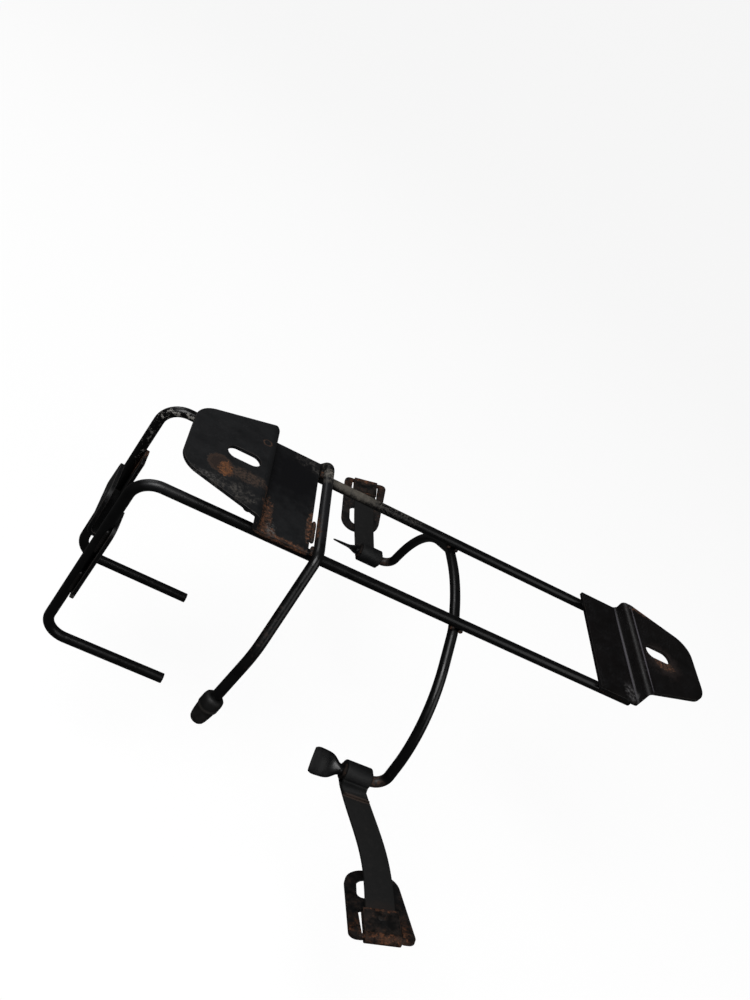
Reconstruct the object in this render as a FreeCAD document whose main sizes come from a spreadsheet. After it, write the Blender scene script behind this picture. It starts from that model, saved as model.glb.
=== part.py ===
import FreeCAD, Part
import math
import os

import Sketcher

# Welded rod carrier with three slotted feet, two cradle bows and two buckle straps.
# Frame: the origin is midway between the slots of the two end brackets, on their mounting face.
# X runs along the rails towards the rear bracket, Y across them and Z out of the mounting face.
# Everything hangs below the mounting plane z = 0. Millimetres throughout.

V = FreeCAD.Vector
doc = FreeCAD.newDocument("luggage_rack")

# ---------------------------------------------------------------- driving dimensions
DIMENSIONS = {
    # rods and the two rails
    "rod_d": 8.0,            # every bent rod is the same 8 mm bar
    "rail_gap": 90.0,        # between the rail axes
    "rail_end": 161.0,       # rear end of both rails, from the origin
    "hook_corner": 245.0,    # front virtual corner of the rails, from the origin
    "hook_leg": 171.0,       # drop of the hook, corner to corner
    "hook_return": 99.0,     # run back under the rails, corner to tip
    "hook_lean": 4.0,        # degrees forward of square
    "return_fall": 2.0,      # degrees below level
    "hook_bend": 18.0,       # centreline bend radius
    # pressed brackets
    "sheet": 3.0,
    "joggle": 13.0,          # step from the web up to the foot
    "slot_pitch": 372.0,     # between the slot centres of the two end brackets
    "slot_length": 25.0,
    "slot_width": 13.0,
    "slot_setback": 21.0,    # slot centre to the fold
    "web_length": 41.0,
    "web_width": 105.0,
    "foot_length": 62.0,
    "foot_width": 108.0,     # front foot at the fold
    "foot_tip": 66.0,        # between the virtual corners of the tip
    "rear_web_length": 37.0,
    "rear_foot_width": 97.0,
    "rear_foot_tip": 60.0,
    "tip_round": 19.0,
    "fold_radius": 3.0,      # inside radius of both folds
    # hook bracket, on the inner side of the hook legs
    "hook_web_top": 47.0,    # from the top corner, down the legs
    "hook_web_low": 123.0,
    "tongue_fold": 80.0,
    "tongue_length": 36.0,
    "tongue_width": 54.0,    # passes between the legs
    "tongue_tip": 40.0,
    "tongue_round": 12.0,
    "tongue_hole": 9.0,
    "tongue_hole_at": 19.0,  # hole centre to the fold
    # front bow, standing on the rails, with a foot cap on each end
    "leg_bow_at": 116.5,     # ahead of the origin
    "leg_bow_lean": 11.2,    # degrees forward as it drops
    "leg_shoulder": 8.0,     # virtual corner outside the rail axis
    "leg_knee_out": 54.5,
    "leg_knee_drop": 52.0,   # below the rail axis
    "leg_end_out": 71.5,
    "leg_end_drop": 108.5,
    "shoulder_bend": 14.0,
    "knee_bend": 58.0,
    "cap_d": 15.5,
    "cap_length": 24.0,
    "cap_bore_depth": 18.0,
    # rear bow, under the rails, with a strap on each end
    "strap_bow_at": 3.5,     # behind the origin
    "crown_slope": 0.15,     # rise of the bow towards its middle
    "crown_bend": 185.0,
    "strap_knee_out": 63.0,
    "strap_knee_drop": 43.0,
    "strap_end_out": 75.0,
    "strap_end_drop": 106.0,
    "strap_shoulder_bend": 30.0,
    "strap_knee_bend": 95.0,
    "strap_end_bend": 10.0,
    "spindle_length": 35.0,  # from the bow's plane to the root of the paddle
    "paddle_length": 22.5,
    "paddle_width": 19.5,
    "paddle_thick": 2.6,
    "paddle_tilt": 38.0,     # degrees
    # straps, bushes, ferrules and rings
    "strap_width": 20.0,
    "strap_thick": 2.5,
    "strap_length": 108.0,   # bush axis to the end inside the ferrule
    "lap_length": 11.0,      # end of the eye's loop, laid back on the strap
    "bush_d": 12.0,
    "bush_length": 23.0,
    "bush_clearance": 0.05,
    "eye_setback": 22.0,     # bow plane to the middle of the bush
    "strap_roll": 14.0,      # degrees of twist along a strap
    "ferrule_width": 24.0,
    "ferrule_grip": 13.0,    # length of strap inside the clip
    "ferrule_root": 5.0,     # solid part between the strap's end and the rolled eye
    "ferrule_sheet": 1.5,
    "rivet_d": 4.0,
    "ring_width": 44.0,
    "ring_length": 64.0,
    "ring_tip": 37.0,
    "ring_limb": 8.0,
    "ring_gate": 27.0,       # width of the opening that passes the ferrule
    "bridge_start": 24.0,    # from the bar's axis to the crosspiece
    "bridge_width": 11.0,
    "ring_thick": 2.4,
    "ring_bar_d": 4.0,
    "ring_fold": 12.0,       # degrees below the strap when folded back
    "ring_clearance": 0.06,
    "ring_corner": 16.0,
    # weld beads
    "bead": 4.4,
}

sheet = doc.addObject("Spreadsheet::Sheet", "Dimensions")
for row, (alias, value) in enumerate(DIMENSIONS.items(), start=1):
    sheet.set("A%d" % row, alias)
    sheet.set("B%d" % row, str(value))
    sheet.setAlias("B%d" % row, alias)
doc.recompute()


def size(alias):
    return float(sheet.get(alias))


rod_r = size("rod_d") / 2
rail_y = size("rail_gap") / 2
rail_z = -(size("sheet") + size("joggle") + rod_r)
SIDES = {"near": -1, "far": 1}
nodes = {}


# ---------------------------------------------------------------- helpers
def keep(label, thing):
    """Give a finished sub-part its label and list it for export."""
    thing.Label = label
    nodes[label] = thing
    return thing


def shape_feature(label, shape):
    feature = doc.addObject("Part::Feature", label)
    feature.Shape = shape
    return feature


def bent_path(points, radii):
    """A wire through the points, with a tangent arc of the given radius at each inner point."""
    edges = []
    start = points[0]
    for before, corner, after, radius in zip(points, points[1:], points[2:], radii):
        arrive = (corner - before).normalize()
        leave = (after - corner).normalize()
        half_turn = arrive.getAngle(leave) / 2
        setback = radius * math.tan(half_turn)
        arc_start = corner - arrive * setback
        arc_end = corner + leave * setback
        inward = (leave - arrive).normalize()
        centre = corner + inward * (radius / math.cos(half_turn))
        middle = centre - inward * radius
        edges.append(Part.LineSegment(start, arc_start).toShape())
        edges.append(Part.Arc(arc_start, middle, arc_end).toShape())
        start = arc_end
    edges.append(Part.LineSegment(start, points[-1]).toShape())
    return Part.Wire(edges)


def bent_rod(label, points, radii):
    """A round bar swept along a bent path, its diameter bound to the sheet."""
    path = shape_feature(label + "_path", bent_path(points, radii))
    direction = (points[1] - points[0]).normalize()
    section = doc.addObject("Part::Circle", label + "_section")
    section.setExpression("Radius", "Dimensions.rod_d / 2")
    section.Placement = FreeCAD.Placement(points[0], FreeCAD.Rotation(V(0, 0, 1), direction))
    sweep = doc.addObject("Part::Sweep", label)
    sweep.Sections = [section]
    sweep.Spine = path
    sweep.Solid = True
    sweep.Frenet = False
    doc.recompute()
    length = path.Shape.Length
    wanted = math.pi * rod_r ** 2 * length
    print("%s: %.0f mm of bar, volume ratio %.4f" % (label, length, sweep.Shape.Volume / wanted))
    return sweep


def origin_plane(body, role):
    return next(f for f in body.Origin.OriginFeatures if f.Role == role)


def sketch_on(body, name, role):
    sketch = body.newObject("Sketcher::SketchObject", name)
    sketch.AttachmentSupport = [(origin_plane(body, role), "")]
    sketch.MapMode = "FlatFace"
    return sketch


def draw_loop(sketch, corners, rounds=None):
    """Closed outline of lines and arcs. corners are (x, y); rounds maps a corner's index to a radius."""
    rounds = rounds or {}
    flat = [V(x, y, 0) for x, y in corners]
    count = len(flat)
    starts, ends, arcs = {}, {}, {}
    for i, corner in enumerate(flat):
        starts[i] = ends[i] = corner
        if i in rounds:
            arrive = (corner - flat[i - 1]).normalize()
            leave = (flat[(i + 1) % count] - corner).normalize()
            half_turn = arrive.getAngle(leave) / 2
            setback = rounds[i] * math.tan(half_turn)
            ends[i] = corner - arrive * setback
            starts[i] = corner + leave * setback
            inward = (leave - arrive).normalize()
            centre = corner + inward * (rounds[i] / math.cos(half_turn))
            arcs[i] = Part.Arc(ends[i], centre - inward * rounds[i], starts[i])
    for i in range(count):
        following = (i + 1) % count
        if starts[i].distanceToPoint(ends[following]) > 1e-6:
            sketch.addGeometry(Part.LineSegment(starts[i], ends[following]), False)
        if following in arcs:
            sketch.addGeometry(arcs[following], False)


def cut_through(body, sketch, name):
    """Pocket the sketch both ways through the body, and insist that it removes something."""
    doc.recompute()
    before = body.Shape.Volume
    pocket = body.newObject("PartDesign::Pocket", name)
    pocket.Profile = sketch
    pocket.Type = "ThroughAll"
    pocket.Midplane = True
    doc.recompute()
    if body.Shape.Volume >= before - 1:
        raise RuntimeError("%s cuts nothing" % name)
    return pocket


# ---------------------------------------------------------------- rails, each with its hook
lean = math.radians(size("hook_lean"))
fall = math.radians(size("return_fall"))
down_leg = V(-math.sin(lean), 0, -math.cos(lean))
leg_inward = V(math.cos(lean), 0, -math.sin(lean))
back_run = V(math.cos(fall), 0, -math.sin(fall))

for side, sign in SIDES.items():
    top_corner = V(-size("hook_corner"), sign * rail_y, rail_z)
    low_corner = top_corner + down_leg * size("hook_leg")
    tip = low_corner + back_run * size("hook_return")
    route = [V(size("rail_end"), sign * rail_y, rail_z), top_corner, low_corner, tip]
    keep(side + "_rail", bent_rod(side + "_rail", route, [size("hook_bend")] * 2))


# ---------------------------------------------------------------- pressed brackets
def stepped_section(web, foot):
    """Side view of a pressed plate: web at the lower level, fold, riser, fold, foot at the top level.
    Drawn along local x, with the fold's riser centred on x = 0 and the foot's top face at z = 0."""
    thick = size("sheet")
    step = size("joggle")
    half = thick / 2
    inside = size("fold_radius")
    outside = inside + thick
    corners = [
        (-web, -step - thick),
        (half, -step - thick),
        (half, -thick),
        (foot, -thick),
        (foot, 0),
        (-half, 0),
        (-half, -step),
        (-web, -step),
    ]
    rounds = {1: outside, 2: inside, 5: outside, 6: inside}
    return corners, rounds


def pressed_blank(label, web, foot, width):
    body = doc.addObject("PartDesign::Body", label)
    section = sketch_on(body, label + "_section", "XZ_Plane")
    corners, rounds = stepped_section(web, foot)
    draw_loop(section, corners, rounds)
    pad = body.newObject("PartDesign::Pad", label + "_press")
    pad.Profile = section
    pad.Midplane = True
    pad.setExpression("Length", width)
    doc.recompute()
    return body


def slot_cut(body, label, centre_x):
    """Round-ended fixing slot, its length and width bound to the sheet."""
    slot = sketch_on(body, label + "_slot_outline", "XY_Plane")
    r = size("slot_width") / 2
    reach = size("slot_length") / 2 - r
    left = V(centre_x - reach, 0, 0)
    right = V(centre_x + reach, 0, 0)
    slot.addGeometry(Part.ArcOfCircle(Part.Circle(left, V(0, 0, 1), r), math.pi / 2, 3 * math.pi / 2), False)
    slot.addGeometry(Part.LineSegment(left + V(0, -r, 0), right + V(0, -r, 0)), False)
    slot.addGeometry(Part.ArcOfCircle(Part.Circle(right, V(0, 0, 1), r), -math.pi / 2, math.pi / 2), False)
    slot.addGeometry(Part.LineSegment(right + V(0, r, 0), left + V(0, r, 0)), False)
    cut_through(body, slot, label + "_slot")


def trim_outline(body, label, outline, rounds, reach):
    """Cut away all of the blank outside the outline: a frame-shaped pocket."""
    trim = sketch_on(body, label + "_trim_outline", "XY_Plane")
    x0, x1, y = reach
    draw_loop(trim, [(x0, -y), (x1, -y), (x1, y), (x0, y)])
    draw_loop(trim, outline, rounds)
    cut_through(body, trim, label + "_trim")


FOOT_STEP = 2.0            # the outline widens from web to foot over this much each side of the riser
BLANK_SPARE = 4.0          # the blank is this much wider than its outline, before it is trimmed
TRIM_AROUND = 20.0         # the trimming pocket reaches this far past the outline


def end_bracket(label, centre_x, turn, web_alias, width_alias, tip_alias):
    """A bracket welded on top of the rails, its foot pointing outwards along local +x."""
    web = size(web_alias)
    foot = size("foot_length")
    body = pressed_blank(label, web, foot, "Dimensions.foot_width + %g" % BLANK_SPARE)
    wide = size(width_alias) / 2
    plain = size("web_width") / 2
    tip = size(tip_alias) / 2
    outline = [(-web, -plain), (-FOOT_STEP, -plain), (FOOT_STEP, -wide), (foot, -tip),
               (foot, tip), (FOOT_STEP, wide), (-FOOT_STEP, plain), (-web, plain)]
    rounds = {3: size("tip_round"), 4: size("tip_round")}
    trim_outline(body, label, outline, rounds, (-web - TRIM_AROUND, foot + TRIM_AROUND, wide + TRIM_AROUND))
    slot_cut(body, label, size("slot_setback"))
    turned = FreeCAD.Rotation(V(0, 0, 1), turn)
    body.Placement = FreeCAD.Placement(V(centre_x, 0, 0), turned)
    return keep(label, body)


fold_x = size("slot_pitch") / 2 - size("slot_setback")
end_bracket("front_bracket", -fold_x, 180, "web_length", "foot_width", "foot_tip")
end_bracket("rear_bracket", fold_x, 0, "rear_web_length", "rear_foot_width", "rear_foot_tip")


# the ears beside the tongue
EAR_OVERLAP = 0.01         # they reach this far into the web, so that the two fuse
EAR_RELIEF = 1.5           # gap between an ear and the tongue
EAR_ROOT = 6.0             # the gap runs this far below the fold
EAR_LOW_ROUND = 4.0
EAR_TOP_ROUND = 9.0


def hook_bracket():
    """Web inside the hook legs, with a tongue stepped out between them as the third foot.
    Local +x points up the legs and local +z outwards, away from the cradle."""
    label = "hook_bracket"
    fold = size("tongue_fold")
    web = size("hook_web_low") - fold
    ears = fold - size("hook_web_top")
    tongue = size("tongue_length")
    thick = size("sheet")
    step = size("joggle")
    body = pressed_blank(label, web, tongue, "Dimensions.tongue_width")
    outline = [
        (-web - 1, -size("tongue_width")),
        (0, -size("tongue_width")),
        (0, -size("tongue_width") / 2),
        (tongue, -size("tongue_tip") / 2),
        (tongue, size("tongue_tip") / 2),
        (0, size("tongue_width") / 2),
        (0, size("tongue_width")),
        (-web - 1, size("tongue_width")),
    ]
    reach = (-web - TRIM_AROUND, tongue + TRIM_AROUND, size("tongue_width") + TRIM_AROUND)
    trim_outline(body, label, outline, {3: size("tongue_round"), 4: size("tongue_round")}, reach)
    hole = sketch_on(body, label + "_hole_outline", "XY_Plane")
    hole.addGeometry(Part.Circle(V(size("tongue_hole_at"), 0, 0), V(0, 0, 1), size("tongue_hole") / 2), False)
    cut_through(body, hole, label + "_hole")
    # the web reaches past both legs, with an ear beside the tongue on each side
    sides = sketch_on(body, label + "_ears_outline", "XY_Plane")
    half = size("web_width") / 2
    joined = size("tongue_width") / 2 - EAR_OVERLAP
    relieved = size("tongue_width") / 2 + EAR_RELIEF
    for sign in (-1, 1):
        draw_loop(sides, [(-web, sign * joined), (-web, sign * half), (ears, sign * half),
                          (ears, sign * relieved), (-EAR_ROOT, sign * relieved), (-EAR_ROOT, sign * joined)],
                  {1: EAR_LOW_ROUND, 2: EAR_TOP_ROUND})
    pad = body.newObject("PartDesign::Pad", label + "_ears")
    pad.Profile = sides
    sides.AttachmentOffset = FreeCAD.Placement(V(0, 0, -step - thick), FreeCAD.Rotation())
    pad.setExpression("Length", "Dimensions.sheet")
    doc.recompute()
    # the web's outer face lies against the inner side of the legs
    top_corner = V(-size("hook_corner"), 0, rail_z)
    base = top_corner + down_leg * fold + leg_inward * (rod_r - step)
    rotation = FreeCAD.Rotation(down_leg * -1, V(0, 1, 0), leg_inward * -1, "ZXY")
    body.Placement = FreeCAD.Placement(base, rotation)
    return keep(label, body)


hook_bracket()


# ---------------------------------------------------------------- front bow, with its foot caps
bow_lean = math.radians(size("leg_bow_lean"))
leg_bow_top = rail_z + 2 * rod_r


def leg_bow_point(out, drop, sign):
    """A point of the front bow's plane: out from the rail axis, and drop below it."""
    z = rail_z - drop
    x = -size("leg_bow_at") - math.tan(bow_lean) * (leg_bow_top - z)
    return V(x, sign * (rail_y + out), z)


leg_route = []
for sign in (-1, 1):
    arm = [
        leg_bow_point(size("leg_end_out"), size("leg_end_drop"), sign),
        leg_bow_point(size("leg_knee_out"), size("leg_knee_drop"), sign),
        leg_bow_point(size("leg_shoulder"), rail_z - leg_bow_top, sign),
    ]
    leg_route += arm if sign < 0 else arm[::-1]
leg_radii = [size("knee_bend"), size("shoulder_bend"), size("shoulder_bend"), size("knee_bend")]
keep("leg_bow", bent_rod("leg_bow", leg_route, leg_radii))


CAP_COLLAR_FROM = 0.42     # the collar starts this far up the bore
CAP_WAIST = 0.90           # taper of the foot: its top and its tip, as shares of the collar's radius
CAP_TIP = 0.72
CAP_DOME_ROUND = 4.5
CAP_COLLAR_ROUND = 3.2


def foot_cap(side, end, inward):
    """Moulded cap pushed on to a bar's end: a collar above, a tapered domed foot below."""
    label = side + "_foot_cap"
    body = doc.addObject("PartDesign::Body", label)
    profile = sketch_on(body, label + "_profile", "XZ_Plane")
    r = size("cap_d") / 2
    length = size("cap_length")
    depth = size("cap_bore_depth")
    below = length - depth
    # local z = 0 is the bar's end; the mouth is above it
    collar = depth * CAP_COLLAR_FROM
    draw_loop(profile, [(0, -below), (r * CAP_TIP, -below), (r * CAP_WAIST, collar), (r, collar), (r, depth),
                        (rod_r, depth), (rod_r, 0), (0, 0)],
              {1: CAP_DOME_ROUND, 4: CAP_COLLAR_ROUND})
    turn = body.newObject("PartDesign::Revolution", label + "_turned")
    turn.Profile = profile
    turn.ReferenceAxis = (profile, ["V_Axis"])
    turn.Angle = 360
    doc.recompute()
    body.Placement = FreeCAD.Placement(end, FreeCAD.Rotation(V(0, 0, 1), inward))
    return keep(label, body)


for side, sign in SIDES.items():
    end = leg_bow_point(size("leg_end_out"), size("leg_end_drop"), sign)
    knee = leg_bow_point(size("leg_knee_out"), size("leg_knee_drop"), sign)
    foot_cap(side, end, (knee - end).normalize())


# ---------------------------------------------------------------- rear bow, with a flattened end on each arm
bow_x = size("strap_bow_at")
WELD_SINK = 0.4            # the bow is pressed this far into the rails at the weld
bow_z = rail_z - 2 * rod_r + WELD_SINK
spindle_y = rail_y + size("strap_end_out")
spindle_z = rail_z - size("strap_end_drop")


def ellipse_wire(x, y, z, wide, thick, tilt):
    """Ellipse across the X axis, its long axis tilted in the YZ plane."""
    along = V(0, math.cos(tilt), math.sin(tilt))
    centre = V(x, y, z)
    ellipse = Part.Ellipse(centre + along * wide, centre + V(0, -along.z, along.y) * thick, centre)
    return Part.Wire([ellipse.toShape()])


# each section of a flattened end: part of its length, share of its half width, share of its half thickness
PADDLE_SECTIONS = [(0.24, 0.72, 2.0), (0.52, 0.96, 1.1), (0.82, 1.0, 0.9), (1.0, 0.86, 0.7)]
PADDLE_OVERLAP = 0.4
PADDLE_FULLER = 1.04       # it starts a hair fuller than the bar, so that the bar's end is buried in it


def paddle(sign):
    """The bar's end, hammered flat so that the strap can't slide off."""
    root = bow_x - size("spindle_length") + PADDLE_OVERLAP
    reach = size("paddle_length") + PADDLE_OVERLAP
    wide = size("paddle_width") / 2
    thin = size("paddle_thick") / 2
    tilt = sign * math.radians(-size("paddle_tilt"))
    full = rod_r * PADDLE_FULLER
    stations = [(0.0, full, full * 0.999), (0.06, full, full * 0.995)]
    stations += [(part, wide * w, thin * t) for part, w, t in PADDLE_SECTIONS]
    y = sign * spindle_y
    wires = [ellipse_wire(root - reach * part, y, spindle_z, w, t, tilt) for part, w, t in stations]
    return Part.makeLoft(wires, True, False)


strap_route = []
for sign in (-1, 1):
    arm = [
        V(bow_x - size("spindle_length"), sign * spindle_y, spindle_z),
        V(bow_x, sign * spindle_y, spindle_z),
        V(bow_x, sign * (rail_y + size("strap_knee_out")), rail_z - size("strap_knee_drop")),
        V(bow_x, sign * rail_y, bow_z),
    ]
    crown = [V(bow_x, 0, bow_z + rail_y * size("crown_slope"))]
    strap_route += arm + crown if sign < 0 else arm[::-1]
arm_radii = [size("strap_end_bend"), size("strap_knee_bend"), size("strap_shoulder_bend")]
strap_radii = arm_radii + [size("crown_bend")] + arm_radii[::-1]
bow_bar = bent_rod("strap_bow_bar", strap_route, strap_radii)
flat_ends = [shape_feature(side + "_paddle", paddle(sign)) for side, sign in SIDES.items()]
strap_bow = doc.addObject("Part::MultiFuse", "strap_bow")
strap_bow.Shapes = [bow_bar] + flat_ends
doc.recompute()
keep("strap_bow", strap_bow)


# ---------------------------------------------------------------- straps
STRAP_SHIFT = {"near": 22.0, "far": -6.0}     # sideways set of each strap's end, along X
STRAP_SWAY = {"near": 4.0, "far": 0.0}        # sideways bow of its middle, along X
STRAP_RISE = {"near": 13.0, "far": 1.0}       # how far its end lies above the bush's underside
eye_x = bow_x - size("eye_setback")
ring_axis_y = size("ferrule_root") + size("ring_bar_d") / 2 + size("ring_clearance")


def strap_centre(side, part):
    """Centre line of a strap, from under the bush (part 0) to inside the ferrule (part 1)."""
    start_z = spindle_z - (size("bush_d") + size("strap_thick")) / 2
    sideways = STRAP_SHIFT[side] * math.sin(part * math.pi / 2)
    sideways += STRAP_SWAY[side] * math.sin(part * math.pi) ** 2
    return V(eye_x + sideways,
             SIDES[side] * (spindle_y + size("strap_length") * part),
             start_z + STRAP_RISE[side] * part ** 2)


def strap_axes(side, part):
    """Unit vectors across, along and up from a strap; it twists evenly towards its ferrule."""
    step = 0.01
    along = (strap_centre(side, part + step) - strap_centre(side, part - step)).normalize()
    across = V(1, 0, 0)
    across = (across - along * along.dot(across)).normalize()
    up = across.cross(along) * SIDES[side]
    roll = math.radians(size("strap_roll")) * part
    return across * math.cos(roll) + up * math.sin(roll), along, up * math.cos(roll) - across * math.sin(roll)


def strap_section(side, part, low, high, inset=0.0):
    """Cross-section of a strap, from low to high above its centre line, narrower by inset on each side."""
    centre = strap_centre(side, part)
    across, _, up = strap_axes(side, part)
    if part == 0:
        across, up = V(1, 0, 0), V(0, 0, 1)
    w = across * (size("strap_width") / 2 - inset)
    corners = [centre - w + up * low, centre + w + up * low, centre + w + up * high, centre - w + up * high]
    return Part.makePolygon(corners + corners[:1])


LAP_INSET = 0.15           # the lap is a little narrower than the strap under it


def strap(side):
    """Flat strap, looped round its bush and lapped back on itself."""
    sign = SIDES[side]
    wide = size("strap_width")
    thick = size("strap_thick")
    inner = size("bush_d") / 2
    outer = inner + thick
    half = thick / 2
    blade = Part.makeLoft([strap_section(side, i / 8, -half, half) for i in range(9)], True, False)
    mouth = V(eye_x - wide / 2, sign * spindle_y, spindle_z)
    hollow = Part.makeCylinder(inner, wide, mouth, V(1, 0, 0))
    loop = Part.makeCylinder(outer, wide, mouth, V(1, 0, 0)).cut(hollow)
    # the free end comes down over the bush and lies on the strap: distance out, and its top's height
    end = outer + size("lap_length")
    rise = inner + half
    shoulder = (inner * 0.5, rise + outer * 0.92)
    slope = (inner, rise + outer * 0.7)
    valley = (outer, rise + outer * 0.12)
    flat = (outer * 1.35, half + thick * 1.25)
    tip = (end, half + thick * 0.9)
    tops = [(y / size("strap_length"), top) for y, top in (shoulder, slope, valley, flat, tip)]
    lap = Part.makeLoft([strap_section(side, part, 0, top, LAP_INSET) for part, top in tops], True, True)
    wide_hollow = Part.makeCylinder(inner, 2 * wide, mouth - V(wide / 2, 0, 0), V(1, 0, 0))
    whole = blade.fuse([loop, lap.cut(wide_hollow)]).removeSplitter()
    return keep(side + "_strap", shape_feature(side + "_strap", whole))


def bush(side):
    """Steel tube that turns on the bow's end, under the strap's eye."""
    sign = SIDES[side]
    label = side + "_strap_bush"
    outer = doc.addObject("Part::Cylinder", label + "_outside")
    outer.setExpression("Radius", "Dimensions.bush_d / 2")
    outer.setExpression("Height", "Dimensions.bush_length")
    bore = doc.addObject("Part::Cylinder", label + "_bore")
    bore.setExpression("Radius", "Dimensions.rod_d / 2 + Dimensions.bush_clearance")
    bore.setExpression("Height", "Dimensions.bush_length")
    tube = doc.addObject("Part::Cut", label)
    tube.Base = outer
    tube.Tool = bore
    place = V(eye_x - size("bush_length") / 2, sign * spindle_y, spindle_z)
    tube.Placement = FreeCAD.Placement(place, FreeCAD.Rotation(V(0, 0, 1), V(1, 0, 0)))
    doc.recompute()
    return keep(label, tube)


def strap_end_placement(side):
    """Local frame of the strap's end: x across it, y out along it, z up."""
    across, along, up = strap_axes(side, 1)
    handed = along.cross(up)
    rotation = FreeCAD.Rotation(handed, along, up, "ZXY")
    return FreeCAD.Placement(strap_centre(side, 1), rotation)


def ferrule(side):
    """Folded steel clip on the strap's end, with a rolled eye for the ring's bar."""
    label = side + "_ferrule"
    body = doc.addObject("PartDesign::Body", label)
    profile = sketch_on(body, label + "_profile", "YZ_Plane")
    gap = size("strap_thick") / 2
    wall = size("ferrule_sheet")
    grip = size("ferrule_grip")
    root = size("ferrule_root")
    bar = size("ring_bar_d") / 2 + size("ring_clearance")
    # jaws above and below the strap's end, meeting in a solid root beside the rolled eye
    draw_loop(profile, [(-grip, gap), (0, gap), (0, -gap), (-grip, -gap), (-grip, -gap - wall),
                        (root, -gap - wall), (root, gap + wall), (-grip, gap + wall)])
    pad = body.newObject("PartDesign::Pad", label + "_clip")
    pad.Profile = profile
    pad.Midplane = True
    pad.setExpression("Length", "Dimensions.ferrule_width")
    doc.recompute()
    rolled = sketch_on(body, label + "_eye_profile", "YZ_Plane")
    rolled.addGeometry(Part.Circle(V(ring_axis_y, 0, 0), V(0, 0, 1), bar + wall), False)
    roll = body.newObject("PartDesign::Pad", label + "_eye")
    roll.Profile = rolled
    roll.Midplane = True
    roll.setExpression("Length", "Dimensions.ferrule_width")
    doc.recompute()
    hole = sketch_on(body, label + "_bore_profile", "YZ_Plane")
    hole.addGeometry(Part.Circle(V(ring_axis_y, 0, 0), V(0, 0, 1), bar), False)
    cut_through(body, hole, label + "_bore")
    body.Placement = strap_end_placement(side)
    return keep(label, body)


RIVET_PROUD = 0.6          # above each face of the clip


def ferrule_rivet(side):
    """Flush rivet through the clip and the strap."""
    label = side + "_ferrule_rivet"
    shank = doc.addObject("Part::Cylinder", label)
    shank.setExpression("Radius", "Dimensions.rivet_d / 2")
    tall = size("strap_thick") + 2 * size("ferrule_sheet") + 2 * RIVET_PROUD
    shank.Height = tall
    local = FreeCAD.Placement(V(0, -size("ferrule_grip") / 2, -tall / 2), FreeCAD.Rotation())
    shank.Placement = strap_end_placement(side).multiply(local)
    doc.recompute()
    return keep(label, shank)


RING_ARM_ROUND = 5.0
RING_GATE_ROUND = 3.0
RING_WINDOW_ROUND = 4.0
RING_FLARE = 2.0           # the window is this much wider at the crosspiece, each side
RING_BAR_INSET = 6.0       # the bar's ends stop this far inside the plate's edges


def ring(side):
    """Flat steel buckle ring, its bar in the ferrule's eye, folded back under the strap."""
    label = side + "_ring"
    body = doc.addObject("PartDesign::Body", label)
    outline = sketch_on(body, label + "_outline", "XY_Plane")
    wide = size("ring_width") / 2
    tip = size("ring_tip") / 2
    limb = size("ring_limb")
    reach = size("ring_length")
    corner = size("ring_corner")
    gate = size("ring_gate") / 2
    bar_r = size("ring_bar_d") / 2
    near_edge = -size("bridge_start")
    far_edge = near_edge - size("bridge_width")
    # the bar lies along local x at y = 0; two arms run back from it to the crosspiece
    plate = [(-wide, bar_r), (-tip, -reach), (tip, -reach), (wide, bar_r),
             (gate, bar_r), (gate, near_edge), (-gate, near_edge), (-gate, bar_r)]
    arm_rounds = {0: RING_ARM_ROUND, 3: RING_ARM_ROUND}
    gate_rounds = {5: RING_GATE_ROUND, 6: RING_GATE_ROUND}
    draw_loop(outline, plate, {1: corner, 2: corner, **arm_rounds, **gate_rounds})
    inner = tip - limb
    flared = inner + RING_FLARE
    window = [(-flared, far_edge), (-inner, limb - reach), (inner, limb - reach), (flared, far_edge)]
    draw_loop(outline, window, {0: RING_WINDOW_ROUND, 1: corner - limb, 2: corner - limb, 3: RING_WINDOW_ROUND})
    pad = body.newObject("PartDesign::Pad", label + "_frame")
    pad.Profile = outline
    pad.Midplane = True
    pad.setExpression("Length", "Dimensions.ring_thick")
    doc.recompute()
    bar_end = sketch_on(body, label + "_bar_profile", "YZ_Plane")
    bar_end.addGeometry(Part.Circle(V(0, 0, 0), V(0, 0, 1), bar_r), False)
    bar = body.newObject("PartDesign::Pad", label + "_bar")
    bar.Profile = bar_end
    bar.Midplane = True
    bar.Length = size("ring_width") - 2 * RING_BAR_INSET
    doc.recompute()
    tilt = FreeCAD.Rotation(V(1, 0, 0), size("ring_fold"))
    local = FreeCAD.Placement(V(0, ring_axis_y, 0), tilt)
    body.Placement = strap_end_placement(side).multiply(local)
    return keep(label, body)


for side in SIDES:
    strap(side)
    bush(side)
    ferrule(side)
    ferrule_rivet(side)
    ring(side)


# ---------------------------------------------------------------- weld beads
def bead_run(start, end, radius):
    """A straight fillet bead with rounded ends."""
    run = Part.makeCylinder(radius, (end - start).Length, start, end - start)
    return run.fuse([Part.makeSphere(radius, start), Part.makeSphere(radius, end)])


def weld_group(label, runs):
    beads = [bead_run(start, end, radius) for start, end, radius in runs]
    return keep(label, shape_feature(label, Part.makeCompound(beads)))


bead = size("bead") / 2
fillet = bead * 0.8        # a bead that fills the corner beside a rod
TOE_OUT = rod_r * 0.95     # where such a bead lies, from the rod's axis
TOE_DOWN = rod_r * 0.55
CROSSING = 2.5             # half length of the bead where two rods cross
web_top = rail_z + rod_r + size("sheet")


def bracket_runs(inner_x, outer_x):
    """Beads along both rails under the web's long edges."""
    toe_z = rail_z + TOE_DOWN
    toe_y = rail_y + TOE_OUT
    return [(V(inner_x, s * toe_y, toe_z), V(outer_x, s * toe_y, toe_z), fillet) for s in SIDES.values()]


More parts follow.
